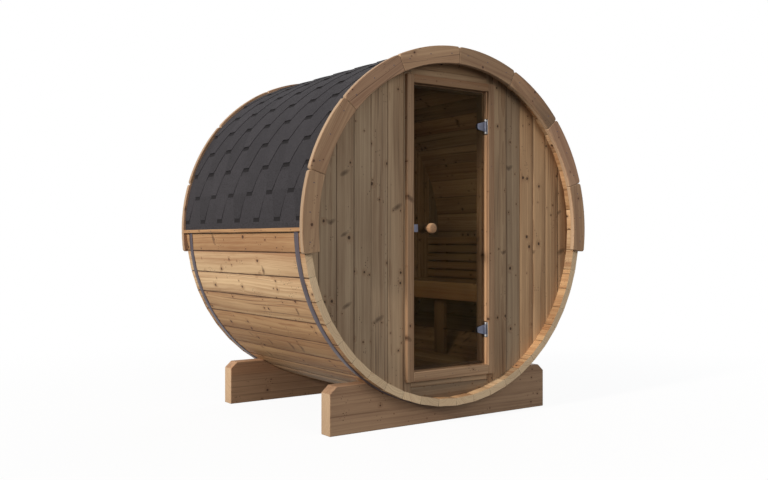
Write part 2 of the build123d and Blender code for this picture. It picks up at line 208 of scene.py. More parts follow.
def timber(
    name,
    pale,
    dark,
    knot,
    knots=1.0,
    girth=1.0,
    figure=1.0,
    seam=1.0,
    spread=0.4,
    cast=COOL_CAST,
    sawn_lift=1.13,
):
    """Planed softwood: growth rings round a pith line, fibres along the board, and knots in whorls.
    Each board has its own stretch of the log in "grain" and its lightness in "tone", which on some pieces is
    set to paint light or shade on them.
    "end" marks its sawn ends, and "side" runs from -1 to 1 between its long edges.
    The numbers scale its knots, their girth, its streaks and the dark line at its long edges,
    spread the lightness of its boards, tint some of them, and brighten its sawn ends."""
    material, n = finish(name)
    grain = n.add("ShaderNodeAttribute", {"attribute_name": "grain"}, out="Vector")
    tone = n.add("ShaderNodeAttribute", {"attribute_name": "tone"}, out="Fac")
    end = n.add("ShaderNodeAttribute", {"attribute_name": "end"}, out="Fac")
    side = n.add("ShaderNodeAttribute", {"attribute_name": "side"}, out="Fac")
    across, along, depth = n.split(grain)
    wobble = n.noise(grain, (80, 55, 80), 2.0) - 0.5

    def nearest_knot(place, cell):
        """Distance to the nearest knot in cells, its chance, its girth, and 1 if it is in a whorl."""
        nearest = n.add(
            "ShaderNodeTexVoronoi",
            {"voronoi_dimensions": "2D"},
            {"Vector": n.vector("DIVIDE", place, cell), "Scale": 1.0, "Randomness": 0.9},
            out="Distance",
        )
        _, height, _ = n.split(nearest.other("Position"))
        chance, fat, _ = n.split(nearest.other("Color"))
        off_whorl = n.maths("ABSOLUTE", (height * (cell[1] / WHORL_SPACING)) % 1 - 0.5)
        return nearest + wobble * 0.09, chance, fat, off_whorl < WHORL_SHARE

    distance, chance, fat, in_whorl = nearest_knot(grain, KNOT_CELL)
    there = chance < in_whorl * (0.46 * knots) + 0.035 * knots
    radius = (0.055 + fat * fat * 0.12) * girth
    core = (1 - n.rise(distance, radius * 0.6, radius * 1.1)) * there
    collar = (1 - n.rise(distance, radius * 0.8, radius * 3.6)) * there
    rising = n.point(across, along - n.maths("ABSOLUTE", across) * BRANCH_RISE, 0.0)
    distance, chance, fat, in_whorl = nearest_knot(rising, SPIKE_CELL)
    there = chance < in_whorl * (0.24 * knots) + 0.014 * knots
    reach = 0.12 + fat * 0.12
    spike = (1 - n.rise(distance, reach * 0.75, reach)) * there
    spike_heart = (1 - n.rise(distance, 0.0, reach * 0.85)) * there
    distance, chance, fat, _ = nearest_knot(grain, PIN_CELL)
    cluster = n.rise(n.noise(grain, (13, 9, 13), 1.0), 0.62, 0.68)
    pin = (1 - n.rise(distance, 0.08, 0.2 + fat * 0.16)) * (chance < cluster * (0.4 * knots))

    sway = (n.noise(grain, (2.2, 0.9, 2.2), 1.0) - 0.5) * 0.05
    ripple = (n.noise(grain, (14, 3.5, 14), 2.0) - 0.5) * 0.006
    centre_across = across + sway
    wander = n.point(centre_across, along, depth)
    pith = (centre_across * centre_across + depth * depth) ** 0.5 + ripple + collar * 0.008
    years = n.noise(n.point(pith, along * 0.01, 0.0), (75, 1, 1), 2.0)
    late_wood = n.rise((pith / RING_WIDTH + years * 4) % 1, 0.2, 0.95)
    heart = 1 - n.rise(pith, 0.030, 0.062)
    fibre = n.noise(wander, (420, 10, 420), 2.0)
    streak = n.noise(wander, (60, 0.9, 60), 3.0)
    broad = n.noise(wander, (15, 0.45, 15), 2.0)
    blotch = n.noise(grain, (5, 1.3, 5), 2.0)
    own_cast = (tone * 5.3) % 1
    own_pitch = (tone * 9.7) % 1

    darkness = late_wood * 0.30 + (streak - 0.5) * (1.1 * figure) + (broad - 0.5) * 1.4
    darkness = darkness + (fibre - 0.5) * 0.5 + (blotch - 0.5) * 1.0
    colour = n.mix(n.rise(darkness, -0.75, 1.0), pale, dark)
    colour = n.mix(n.rise(own_cast, 0.3, 0.7), colour, n.vector("MULTIPLY", colour, cast))
    colour = n.mix(heart * 0.5, colour, n.vector("MULTIPLY", colour, HEART_CAST))
    colour = n.brighten(colour, 1 - spread / 2 + tone * spread)
    resin = n.rise(n.noise(wander, (140, 1.3, 140), 1.0), 0.58, 0.67) * n.rise(own_pitch, 0.3, 0.45)
    resin = resin * n.rise(broad, 0.42, 0.56)
    colour = n.mix(collar * 0.40, colour, dark)
    uneven = n.rise(n.noise(grain, (9, 7, 9), 2.0), 0.2, 0.6)
    gap_shade = n.rise(n.maths("ABSOLUTE", side), 0.930, 0.960) * (0.42 + uneven * 0.40) * seam
    marks = n.maths("MAXIMUM", core * 0.88, pin * 0.75)
    marks = n.maths("MAXIMUM", marks, spike * 0.3 + spike_heart * 0.4)
    marks = n.maths("MAXIMUM", marks, resin * (0.55 * figure))
    marks = n.maths("MAXIMUM", marks, gap_shade)
    colour = n.mix(marks, colour, knot)
    sawn = n.mix(late_wood * 0.35 + fibre * 0.25, n.mix(0.5, pale, SAWN_CREAM), dark)
    sawn = n.brighten(sawn, sawn_lift + tone * 0.2)
    colour = n.mix(end * 0.88, colour, sawn)
    roughness = 0.58 + fibre * 0.22
    height = fibre * 0.5 - late_wood * 0.35 + core * 0.4
    normal = n.bump(height, 0.35, 0.0008)
    n.surface(Base_Color=colour, Roughness=roughness, Specular_IOR_Level=0.25, Normal=normal)
    return material


def settle(piece, body, slot, *stood_for):
    """Let a piece ride on its body and hide the pieces that it stands for; its finish slot is not used."""
    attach(piece, body)
    if stood_for:
        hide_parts(*stood_for)


def loose_pieces(bm):
    """The separate pieces in a mesh, each as a list of its points."""
    unseen = set(bm.verts)
    while unseen:
        group = [unseen.pop()]
        for vert in group:
            linked = [edge.other_vert(vert) for edge in vert.link_edges]
            fresh = [v for v in linked if v in unseen]
            unseen.difference_update(fresh)
            group.extend(fresh)
        yield sorted(group, key=lambda v: v.index)


def mark(mesh, name, values):
    """Keep a number or a vector for each point of a mesh."""
    values = np.asarray(values, np.float32)
    kind, label = ("FLOAT", "value") if values.ndim == 1 else ("FLOAT_VECTOR", "vector")
    mesh.attributes.new(name, kind, "POINT").data.foreach_set(label, values.ravel())


def stand(name, data):
    """A new object at the origin of the scene."""
    piece = bpy.data.objects.new(name, data)
    bpy.context.scene.collection.objects.link(piece)
    return piece


SAME_SPOT = 1e-5
PITH_SHIFT = 0.07
PITH_NEAR, PITH_FAR = 0.03, 0.13
LOG_LENGTH = 60.0
FLAT_BELOW, SHARP_ABOVE = math.radians(0.4), math.radians(28)
CURVED_FROM, CURVED_TO = math.radians(0.5), math.radians(22)


def eased(name, node, material, arris, seed=0, tones=(0.0, 1.0), sawn_and_highlit_edges=0.0):
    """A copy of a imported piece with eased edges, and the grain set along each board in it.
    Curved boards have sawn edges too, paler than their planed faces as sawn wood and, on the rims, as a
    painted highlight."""
    bm = bmesh.new()
    bm.from_mesh(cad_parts[node].data)
    bmesh.ops.remove_doubles(bm, verts=bm.verts, dist=SAME_SPOT)
    bmesh.ops.dissolve_limit(bm, angle_limit=FLAT_BELOW, verts=bm.verts, edges=bm.edges)
    sharp = [e for e in bm.edges if e.is_manifold and e.calc_face_angle() > SHARP_ABOVE]
    rounded = bmesh.ops.bevel(bm, geom=sharp, offset=arris, segments=2, profile=0.5, affect="EDGES")
    for face in rounded["faces"]:
        face.smooth = True
    for edge in bm.edges:
        if edge.is_manifold and CURVED_FROM < edge.calc_face_angle() < CURVED_TO:
            for face in edge.link_faces:
                face.smooth = True
    bm.verts.index_update()
    bm.verts.ensure_lookup_table()

    draw = random.Random(seed)
    end = bm.faces.layers.float.new("end")
    grain = np.zeros((len(bm.verts), 3), np.float32)
    tone = np.zeros(len(bm.verts), np.float32)
    for group in sorted(loose_pieces(bm), key=lambda g: g[0].index):
        index = [v.index for v in group]
        points = np.array([v.co for v in group])
        points = points - points.mean(0)
        thin, middling, long = np.linalg.eigh(points.T @ points)[1].T
        stretch = draw.uniform(0, LOG_LENGTH)
        shift = draw.uniform(-PITH_SHIFT, PITH_SHIFT), stretch, draw.uniform(PITH_NEAR, PITH_FAR)
        grain[index] = points @ np.array([middling, long, thin]).T + shift
        tone[index] = draw.uniform(*tones)
        for face in {face for vert in group for face in vert.link_faces}:
            at_end = abs(face.normal.dot(Vector(long))) > 0.8
            on_edge = abs(face.normal.dot(Vector(thin))) < 0.3
            face[end] = 1.0 if at_end else sawn_and_highlit_edges * on_edge
    mesh = bpy.data.meshes.new(name)
    bm.to_mesh(mesh)
    bm.free()
    mark(mesh, "grain", grain)
    mark(mesh, "tone", tone)
    mesh.materials.append(material)
    return stand(name, mesh)


CRADLE_PALE, CRADLE_DARK, CRADLE_KNOT = shade(197, 158, 123), shade(140, 105, 80), shade(62, 39, 28)
cradle_wood = timber("cradle_wood", CRADLE_PALE, CRADLE_DARK, CRADLE_KNOT, figure=0.5, sawn_lift=0.86)
# The rear cradle's high tone is painted light on a plank that stands in shade under the barrel, behind the
# front one.
for end, tones in (("front", (0.4, 0.5)), ("rear", (1.3, 1.4))):
    node = f"{end}_cradle"
    cradle = eased(f"{node}_plank", node, cradle_wood, arris=0.004, seed=len(end), tones=tones)
    settle(cradle, "sauna", "cradle_wood", node)


# Staves: flat-faced softwood boards with bevelled edges, laid edge to edge in a full ring.
# The hoops pull them tight, and each keeps a small rounded arris beside its joint.
class Jig(Nodes):
    """A Geometry Nodes tree with named sizes, which grows into one plain mesh of one finish."""

    KINDS = {
        int: "NodeSocketInt",
        float: "NodeSocketFloat",
        bpy.types.Material: "NodeSocketMaterial",
        type(None): "NodeSocketGeometry",
    }

    def __init__(self, name, sizes):
        super().__init__(bpy.data.node_groups.new(name, "GeometryNodeTree"))
        self.sizes = sizes
        interface = self.tree.interface
        interface.new_socket("Mesh", in_out="OUTPUT", socket_type="NodeSocketGeometry")
        for label, value in sizes.items():
            interface.new_socket(label, in_out="INPUT", socket_type=self.KINDS[type(value)])
        self.given = self.add("NodeGroupInput")

    def size(self, label):
        return self.given.other(label)

    def stick(self, outer, inner, thickness, length, arris, cuts=0, steps=2):
        """One board along Y with its outer face up, its edges eased, and its own grain."""
        section = self.add(
            "GeometryNodeCurvePrimitiveQuadrilateral",
            {"mode": "TRAPEZOID"},
            {"Bottom Width": outer, "Top Width": inner, "Height": thickness, "Offset": 0.0},
        )
        section = self.add(
            "GeometryNodeFilletCurve",
            {"mode": "POLY"},
            {"Curve": section, "Count": 2, "Radius": arris, "Limit Radius": True},
        )
        section = self.add("GeometryNodeSubdivideCurve", sockets={"Curve": section, "Cuts": cuts})
        ends = {"Start": self.point(0.0, length * -0.5, 0.0), "End": self.point(0.0, length * 0.5, 0.0)}
        path = self.add("GeometryNodeCurvePrimitiveLine", sockets=ends)
        path = self.add("GeometryNodeResampleCurve", sockets={"Curve": path, "Count": steps})
        path = self.add("GeometryNodeSetCurveNormal", {"mode": "Z_UP"}, {"Curve": path})
        swept = {"Curve": path, "Profile Curve": section, "Fill Caps": True}
        board = self.add("GeometryNodeCurveToMesh", sockets=swept)
        place = self.add("GeometryNodeInputPosition")
        board = self.store(board, "grain", place)
        across, _, _ = self.split(place)
        board = self.store(board, "side", across / (outer * 0.5), "FLOAT")
        _, along, _ = self.split(self.add("GeometryNodeInputNormal"))
        return self.store(board, "end", self.maths("ABSOLUTE", along) > 0.8, "FLOAT", "FACE")

    def store(self, geometry, name, value, kind="FLOAT_VECTOR", domain="POINT"):
        return self.add(
            "GeometryNodeStoreNamedAttribute",
            {"data_type": kind, "domain": domain},
            {"Geometry": geometry, "Name": name, "Value": value},
        )

    def stored(self, name, kind="FLOAT_VECTOR"):
        return self.add("GeometryNodeInputNamedAttribute", {"data_type": kind}, {"Name": name})

    def chance(self, low, high):
        """A fixed random number or vector for each place."""
        kind = "FLOAT_VECTOR" if isinstance(low, tuple) else "FLOAT"
        sockets = {"Min": low, "Max": high, "Seed": self.size("Seed")}
        return self.add("FunctionNodeRandomValue", {"data_type": kind}, sockets)

    def places(self, count, x, y, z):
        """As many points as count, at places worked out from their index."""
        return self.add("GeometryNodePoints", sockets={"Count": count, "Position": self.point(x, y, z)})

    def index(self):
        return self.add("GeometryNodeInputIndex") + 0.0

    def lay(self, board, places, **turned):
        """The board at every place, each with its own tone and its own stretch of the log."""
        sockets = {"Points": places, "Instance": board, **turned}
        row = self.add("GeometryNodeInstanceOnPoints", sockets=sockets)
        low = (-PITH_SHIFT, 0.0, PITH_NEAR)
        high = (PITH_SHIFT, LOG_LENGTH, PITH_FAR)
        row = self.store(row, "tone", self.chance(0.0, 1.0), "FLOAT", "INSTANCE")
        row = self.store(row, "shift", self.chance(low, high), domain="INSTANCE")
        row = self.add("GeometryNodeRealizeInstances", sockets={"Geometry": row})
        row = self.store(row, "grain", self.vector("ADD", self.stored("grain"), self.stored("shift")))
        return self.add("GeometryNodeRemoveAttribute", sockets={"Geometry": row, "Name": "shift"})

    def move(self, geometry, position):
        return self.add("GeometryNodeSetPosition", sockets={"Geometry": geometry, "Position": position})

    def weld(self, geometry, distance=SAME_SPOT):
        """Join the points that lie within a distance of each other."""
        return self.add("GeometryNodeMergeByDistance", sockets={"Geometry": geometry, "Distance": distance})

    def close(self, geometry):
        """End the tree in one realised mesh with the finish on it."""
        geometry = self.add("GeometryNodeRealizeInstances", sockets={"Geometry": geometry})
        dressed = {"Geometry": geometry, "Material": self.size("Finish")}
        geometry = self.add("GeometryNodeSetMaterial", sockets=dressed)
        self.add("NodeGroupOutput", sockets={0: geometry})

    def grow(self, name, mesh=None, **changes):
        """A plain mesh object, grown with the tree's sizes or with changes to them."""
        sizes = {**self.sizes, **{label.replace("_", " "): value for label, value in changes.items()}}
        piece = stand(name, mesh or bpy.data.meshes.new(name))
        jig = piece.modifiers.new("jig", "NODES")
        jig.node_group = self.tree
        for item in self.tree.interface.items_tree:
            if item.in_out == "INPUT" and sizes[item.name] is not None:
                jig[item.identifier] = sizes[item.name]
        grown = piece.evaluated_get(bpy.context.evaluated_depsgraph_get())
        piece.data = bpy.data.meshes.new_from_object(grown)
        piece.modifiers.clear()
        bm = bmesh.new()
        bm.from_mesh(piece.data)
        bmesh.ops.dissolve_degenerate(bm, dist=SAME_SPOT, edges=bm.edges)
        bm.to_mesh(piece.data)
        bm.free()
        return piece


STAVE_COUNT = 48
STAVE_THICKNESS = 0.042
stave_low, stave_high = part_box("staves_lower_left")
AXIS_HEIGHT = stave_high.z
STAVE_LENGTH = stave_high.y - stave_low.y
STAVE_RADIUS = AXIS_HEIGHT - stave_low.z
axis = Matrix.Translation((0, 0, AXIS_HEIGHT))

STAVE_PALE, STAVE_DARK, STAVE_KNOT = shade(221, 194, 156), shade(154, 114, 82), shade(58, 34, 23)
STAVE_WARM = (0.92, 0.82, 0.72)
stave_look = {"knots": 1.3, "girth": 1.35, "spread": 0.5, "cast": STAVE_WARM}
stave_wood = timber("stave_wood", STAVE_PALE, STAVE_DARK, STAVE_KNOT, **stave_look)
ring = Jig("stave_ring", {
    "Staves": STAVE_COUNT,
    "Face radius": STAVE_RADIUS * math.cos(math.pi / STAVE_COUNT),
    "Thickness": STAVE_THICKNESS,
    "Length": STAVE_LENGTH,
    "Joint": 0.0018,
    "Shut": 0.0003,
    "Arris": 0.003,
    # The seed gives boards that run warmer and darker down the side of the barrel, which is partly painted
    # shade.
    "Seed": 15191,
    "Finish": stave_wood,
})
step = math.tau / ring.size("Staves")
spread = ring.maths("TANGENT", step / 2) * 2
room_radius = ring.size("Face radius") - ring.size("Thickness")
stave = ring.stick(
    ring.size("Face radius") * spread - ring.size("Joint"),
    room_radius * spread - ring.size("Shut"),
    ring.size("Thickness"),
    ring.size("Length"),
    ring.size("Arris"),
)
lift = ring.point(0.0, 0.0, ring.size("Face radius") - ring.size("Thickness") / 2)
stave = ring.add("GeometryNodeTransform", sockets={"Geometry": stave, "Translation": lift})
turn = ring.point(0.0, (ring.index() + 0.5) * step, 0.0)
ring.close(ring.lay(stave, ring.places(ring.size("Staves"), 0.0, 0.0, 0.0), Rotation=turn))
staves = ring.grow("stave_ring")
staves.data.transform(axis)
quarters = [f"staves_{level}_{side}" for level in ("upper", "lower") for side in ("left", "right")]
settle(staves, "sauna", "stave_wood", *quarters)


# Hoops: two flat bands of stainless steel round the staves near the ends, rolled from strip.
# They pass under the roofing and the battens.
def steel(name, tint, brush, roughness):
    """Stainless steel with a brushed lay, faint grime and dull patches."""
    material, n = finish(name)
    place = n.add("ShaderNodeTexCoord", out="Object")
    lay = n.noise(place, brush, 3.0)
    cloud = n.noise(place, (9, 9, 9), 3.0)
    grime = n.rise(cloud, 0.5, 0.75)
    colour = n.brighten(tint[:3], 0.82 + lay * 0.36)
    colour = n.mix(grime * 0.35, colour, shade(70, 63, 61))
    worn = roughness + lay * 0.16 + grime * 0.18
    normal = n.bump(lay, 0.12, 0.0003)
    n.surface(Base_Color=colour, Roughness=worn, Metallic=0.9 - grime * 0.3, Normal=normal)
    return material


hoop_steel = steel("hoop_steel", shade(92, 84, 90), (14, 900, 14), 0.42)
hoop_low, hoop_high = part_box("front_hoop")
HOOP_GAUGE = 0.0015
band = Jig("hoop_band", {
    "Radius": (hoop_high.x - hoop_low.x - HOOP_GAUGE) / 2,
    "Width": hoop_high.y - hoop_low.y,
    "Gauge": HOOP_GAUGE,
    "Arris": 0.0004,
    "Facets": 192,
    "Finish": hoop_steel,
})
circle = band.add(
    "GeometryNodeCurvePrimitiveCircle",
    sockets={"Radius": band.size("Radius"), "Resolution": band.size("Facets")},
)
circle = band.add("GeometryNodeSetCurveNormal", {"mode": "Z_UP"}, {"Curve": circle})
strip = band.add(
    "GeometryNodeCurvePrimitiveQuadrilateral",
    {"mode": "RECTANGLE"},
    {"Width": band.size("Gauge"), "Height": band.size("Width")},
)
strip = band.add(
    "GeometryNodeFilletCurve",
    {"mode": "POLY"},
    {"Curve": strip, "Count": 1, "Radius": band.size("Arris"), "Limit Radius": True},
)
rolled = band.add("GeometryNodeCurveToMesh", sockets={"Curve": circle, "Profile Curve": strip})
band.close(band.add("GeometryNodeTransform", sockets={"Geometry": rolled, "Rotation": (math.pi / 2, 0, 0)}))
for end in ("front", "rear"):
    low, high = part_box(f"{end}_hoop")
    hoop = band.grow(f"{end}_hoop_band")
    hoop.data.transform(Matrix.Translation((low + high) / 2))
    settle(hoop, "sauna", "hoop_steel", f"{end}_hoop")


# End walls: tongued softwood boards with a small V at each joint, seated in a groove in the
# staves. They stand upright, apart from short level boards over and under the door.
BOARD_PITCH = 0.1097
FIRST_JOINT = 0.3283
LEVEL_BOARDS = 2
SAW_CUT = 0.001
wall_low, wall_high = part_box("rear_wall")
WALL_RADIUS = wall_high.x
WALL_THICKNESS = wall_high.y - wall_low.y
WALL_PALE, WALL_DARK, WALL_KNOT = shade(204, 170, 132), shade(138, 104, 75), shade(50, 34, 26)
WALL_GREY = (0.84, 0.94, 1.08)
wall_look = {"girth": 1.3, "figure": 0.85, "seam": 0.5, "spread": 0.8, "cast": WALL_GREY}
wall_wood = timber("wall_wood", WALL_PALE, WALL_DARK, WALL_KNOT, **wall_look)


def wall_jig(name, turn):
    """Boards side by side along X, turned to stand in the wall, and cut to its outline."""
    jig = Jig(name, {
        "Boards": 8,
        "First": 0.0,
        "Pitch": BOARD_PITCH,
        "Joint": 0.0008,
        "Thickness": WALL_THICKNESS,
        "Length": 2 * WALL_RADIUS,
        "Arris": 0.004,
        "Cuts": 3,
        "Steps": 2,
        "Left": -WALL_RADIUS,
        "Right": WALL_RADIUS,
        "Low": -WALL_RADIUS,
        "High": WALL_RADIUS,
        "Radius": WALL_RADIUS,
        "Seed": 5,
        "Finish": wall_wood,
    })
    width = jig.size("Pitch") - jig.size("Joint")
    sizes = [jig.size(label) for label in ("Thickness", "Length", "Arris", "Cuts", "Steps")]
    board = jig.stick(width, width, *sizes)
    middle = jig.size("First") + (jig.index() + 0.5) * jig.size("Pitch")
    row = jig.lay(board, jig.places(jig.size("Boards"), middle, 0.0, 0.0))
    row = jig.add("GeometryNodeTransform", sockets={"Geometry": row, "Rotation": turn})
    place = jig.add("GeometryNodeInputPosition")
    x, y, z = jig.split(place)
    x = jig.between(x, jig.size("Left"), jig.size("Right"))
    reach = jig.maths("MAXIMUM", jig.size("Radius") * jig.size("Radius") - x * x, 0.0) ** 0.5
    z = jig.between(jig.between(z, jig.size("Low"), jig.size("High")), reach * -1, reach)
    sawn_place = jig.point(x, y, z)
    lost = jig.add(
        "ShaderNodeVectorRotate",
        {"rotation_type": "EULER_XYZ", "invert": True},
        {"Vector": jig.vector("SUBTRACT", sawn_place, place), "Rotation": turn},
    )
    row = jig.store(row, "grain", jig.vector("ADD", jig.stored("grain"), lost))
    jig.close(jig.weld(jig.move(row, sawn_place), SAW_CUT))
    return jig


upright = wall_jig("upright_boards", (math.pi / 2, 0, 0))
level = wall_jig("level_boards", Matrix(((0, 1, 0), (0, 0, -1), (-1, 0, 0))).to_euler())


def stand_wall(piece, node):
    """Put wall boards into the thickness of the wall that they stand for."""
    low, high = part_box(node)
    piece.data.transform(Matrix.Translation((0, (low.y + high.y) / 2, AXIS_HEIGHT)))
    settle(piece, "sauna", "wall_wood", node)


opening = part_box("front_wall_right")[0].x
side_boards = math.ceil((WALL_RADIUS - FIRST_JOINT) / BOARD_PITCH) + 1
near_side = FIRST_JOINT - BOARD_PITCH
far_side = near_side + side_boards * BOARD_PITCH
# The two seeds give greyer boards left of the door and warmer ones right of it: painted shade on the left
# and painted sunlight on the right.
for node, sizes in (
    ("front_wall_right", {"First": near_side, "Left": opening, "Seed": 349}),
    ("front_wall_left", {"First": -far_side, "Right": -opening, "Seed": 190}),
):
    stand_wall(upright.grow(f"{node}_boards", Boards=side_boards, **sizes), node)
for node, seed in (("front_wall_over_door", 2), ("front_wall_under_door", 4)):
    low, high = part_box(node)
    boards = level.grow(
        f"{node}_boards",
        Boards=LEVEL_BOARDS,
        First=AXIS_HEIGHT - high.z,
        Pitch=(high.z - low.z) / LEVEL_BOARDS,
        Length=high.x - low.x,
        Low=low.z - AXIS_HEIGHT,
        High=high.z - AXIS_HEIGHT,
        Steps=20,
        Seed=seed,
    )
    stand_wall(boards, node)
rear_count = 2 * math.ceil(WALL_RADIUS / BOARD_PITCH)
rear_first = -rear_count / 2 * BOARD_PITCH
stand_wall(upright.grow("rear_wall_boards", Boards=rear_count, First=rear_first, Seed=9), "rear_wall")


# Door frame: planed softwood casing boards screwed round the opening on the outside,
# and rebated jambs inside it that the glass closes against.
frame_wood = timber("frame_wood", shade(192, 155, 120), shade(136, 101, 73), shade(64, 42, 30))
# The head casing's low tone is painted shade, where the staves and fascia overhang it.
casing_tones_and_shade = {"left_casing": 0.5, "right_casing": 0.55, "head_casing": 0.05, "sill_casing": 0.5}
# The right jamb's high tone is painted sunlight on it.
jamb_tones_and_sunlight = {"left_jamb": 0.5, "right_jamb": 1.4, "head_jamb": 0.4, "door_sill": 0.6}
for tones_and_painted_light, arris, first_seed in ((casing_tones_and_shade, 0.003, 20), (jamb_tones_and_sunlight, 0.002, 30)):
    for seed, (board, tone) in enumerate(tones_and_painted_light.items(), first_seed):
        planed = eased(f"{board}_board", board, frame_wood, arris, seed=seed, tones=(tone, tone))
        settle(planed, "sauna", "frame_wood", board)


# Floor and bench: planed softwood slats on bearers, with a front board and one leg to the bench,
# and a slatted backrest on posts. They rest on the staves and on each other inside the barrel.
bench_wood = timber("bench_wood", shade(214, 176, 128), shade(176, 132, 86), shade(90, 56, 34), knots=0.4)
bench_pieces = (
    "floor_slats",
    "floor_bearers",
    "bench_seat",
    "bench_apron",
    "bench_leg",
    "bench_bearers",
    "backrest_slats",
    "backrest_posts",
)
for seed, part in enumerate(bench_pieces, 40):
    # The front board's high tone is painted light, as if lit through the door, and keeps it lighter than the
    # slats.
    tones = (1.3, 1.4) if part == "bench_apron" else (-0.3, 0.5)
    slats = eased(f"{part}_planed", part, bench_wood, arris=0.003, seed=seed, tones=tones)
    settle(slats, "sauna", "bench_wood", part)


# Roofing: bitumen shingles with slate granules, cut in tabs whose overlap leaves long hexagons.
# A starter strip runs along each eave, and bent caps cover the ridge.
SHINGLE_PITCH = 0.235
SHINGLE_EXPOSURE = 0.147
SHINGLE_FOOT = 0.070
SHINGLE_FULL = SHINGLE_PITCH - SHINGLE_FOOT
PATCH_HEIGHT = 0.021
PATCH_BLUR = 0.003
PATCH_OVERRUN = 0.004


def shingle():
    """Charcoal granules, with a darker patch printed under the foot of every tab above."""
    material, n = finish("roof_shingle")
    place = n.add("ShaderNodeTexCoord", out="Object")
    lap = n.add("ShaderNodeAttribute", {"attribute_name": "lap"}, out="Vector")
    tone = n.add("ShaderNodeAttribute", {"attribute_name": "tone"}, out="Fac")
    side, up, _ = n.split(lap)
    granules = n.noise(place, (620, 620, 620), 1.0)
    speckle = n.noise(place, (210, 210, 210), 2.0)
    cloud = n.noise(place, (5, 5, 5), 3.0)
    colour = n.mix(n.rise(granules * 0.6 + speckle * 0.4, 0.36, 0.66), shade(33, 32, 35), shade(67, 66, 71))
    colour = n.brighten(colour, 0.86 + tone * 0.34 + cloud * 0.3)
    off_centre = n.maths("ABSOLUTE", (side / SHINGLE_PITCH + 0.5) % 1 - 0.5) * SHINGLE_PITCH

    def printed(top):
        """1 from a patch's height below a line upwards."""
        return n.rise(up, top - PATCH_HEIGHT - PATCH_BLUR, top - PATCH_HEIGHT)

    upper = printed(2 * SHINGLE_EXPOSURE) * (off_centre < SHINGLE_FOOT / 2)
    lower = printed(SHINGLE_EXPOSURE) * (up < SHINGLE_EXPOSURE + PATCH_OVERRUN)
    lower = lower * (off_centre > SHINGLE_FULL / 2)
    colour = n.mix((upper + lower) * 0.8, colour, shade(17, 15, 17))
    normal = n.bump(granules * 0.6 + speckle * 0.6, 0.5, 0.0016)
    roughness = 0.86 + speckle * 0.12
    n.surface(Base_Color=colour, Roughness=roughness, Specular_IOR_Level=0.2, Normal=normal)
    return material


roof_low, roof_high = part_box("roof_left")
ROOF_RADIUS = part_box("front_hoop")[1].x - HOOP_GAUGE
ROOF_GAUGE = (roof_high.z - AXIS_HEIGHT - ROOF_RADIUS) / 3
EAVE = roof_low.z - AXIS_HEIGHT
FIRST_FOOT = 0.056
TAB_LAP = 0.02
LEAST_TAB = 0.01
shingles = Jig("shingle_courses", {
    "Courses": 10,
    "Tabs": 8,
    "Pitch": SHINGLE_PITCH,
    "Exposure": SHINGLE_EXPOSURE,
    "Foot": SHINGLE_FOOT,
    "Full": SHINGLE_FULL,
    "Tab length": 0.308,
    "Gauge": ROOF_GAUGE,
    "Laps": 2.0,
    "Lap side": 0.0,
    "Lap rise": 0.0,
    "First": FIRST_FOOT,
    "Radius": ROOF_RADIUS,
    "Half length": roof_high.y,
    "Seed": 7,
    "Finish": shingle(),
})


def sheet_of(jig, width, length, columns, rows):
    """A flat sheet of felt with its foot at Y = 0, closed, with its own place in "lap"."""
    grid = {"Size X": 1.0, "Size Y": length, "Vertices X": columns, "Vertices Y": rows}
    grid = jig.add("GeometryNodeMeshGrid", sockets=grid, out="Mesh")
    x, y, _ = jig.split(jig.add("GeometryNodeInputPosition"))
    up = y + length / 2
    flat = jig.move(grid, jig.point(x * width(up), up, 0.0))
    flat = jig.store(flat, "lap", jig.add("GeometryNodeInputPosition"))
    flat = jig.store(flat, "grain", jig.add("GeometryNodeInputPosition"))
    raised = jig.add(
        "GeometryNodeExtrudeMesh",
        {"mode": "FACES"},
        {"Mesh": flat, "Offset": (0, 0, 1), "Offset Scale": jig.size("Gauge"), "Individual": False},
        out="Mesh",
    )
    under = jig.add("GeometryNodeFlipFaces", sockets={"Mesh": flat})
    return jig.weld(jig.add("GeometryNodeJoinGeometry", sockets={0: [under, raised]}))


def roll(jig, sheets, angle, radius, along):
    """Bend sheets round the barrel, from the left eave upwards, and trim them at its ends."""
    half = jig.size("Half length")
    along = jig.between(along, half * -1, half)
    bent = jig.point(jig.maths("COSINE", angle) * radius * -1, along, jig.maths("SINE", angle) * radius)
    jig.close(jig.weld(jig.move(sheets, bent)))


def tab_width(up):
    """The width of a tab at a height over its foot, up to the next tab beside it."""
    slope = (shingles.size("Full") - shingles.size("Foot")) / shingles.size("Exposure")
    return shingles.maths("MINIMUM", shingles.size("Foot") + up * slope, shingles.size("Full") + TAB_LAP)


tab = sheet_of(shingles, tab_width, shingles.size("Tab length"), 5, 13)
shifted = shingles.point(shingles.size("Lap side"), shingles.size("Lap rise"), 0.0)
tab = shingles.store(tab, "lap", shingles.vector("ADD", shingles.stored("lap"), shifted))
number = shingles.index()
course = shingles.maths("FLOOR", number / shingles.size("Tabs"))
along = number % shingles.size("Tabs") - shingles.size("Tabs") / 2 + course % 2 / 2
up = shingles.size("First") + course * shingles.size("Exposure")
spots = shingles.places(
    shingles.size("Courses") * shingles.size("Tabs"), along * shingles.size("Pitch"), up, 0.0
)
foot_end = shingles.maths("ABSOLUTE", along * shingles.size("Pitch")) - shingles.size("Foot") / 2
outside = foot_end > shingles.size("Half length") - LEAST_TAB
spots = shingles.add(
    "GeometryNodeDeleteGeometry", {"domain": "POINT"}, {"Geometry": spots, "Selection": outside}
)
laid = shingles.lay(tab, spots)
x, y, z = shingles.split(shingles.add("GeometryNodeInputPosition"))
_, own_up, _ = shingles.split(shingles.stored("lap"))
under = shingles.maths("MAXIMUM", 1 - own_up / (2 * shingles.size("Exposure")), 0.0)
radius = shingles.size("Radius") + under * shingles.size("Laps") * shingles.size("Gauge") + z
angle = shingles.maths("MINIMUM", y / shingles.size("Radius"), math.pi / 2)
roll(shingles, laid, angle, radius, x * -1)

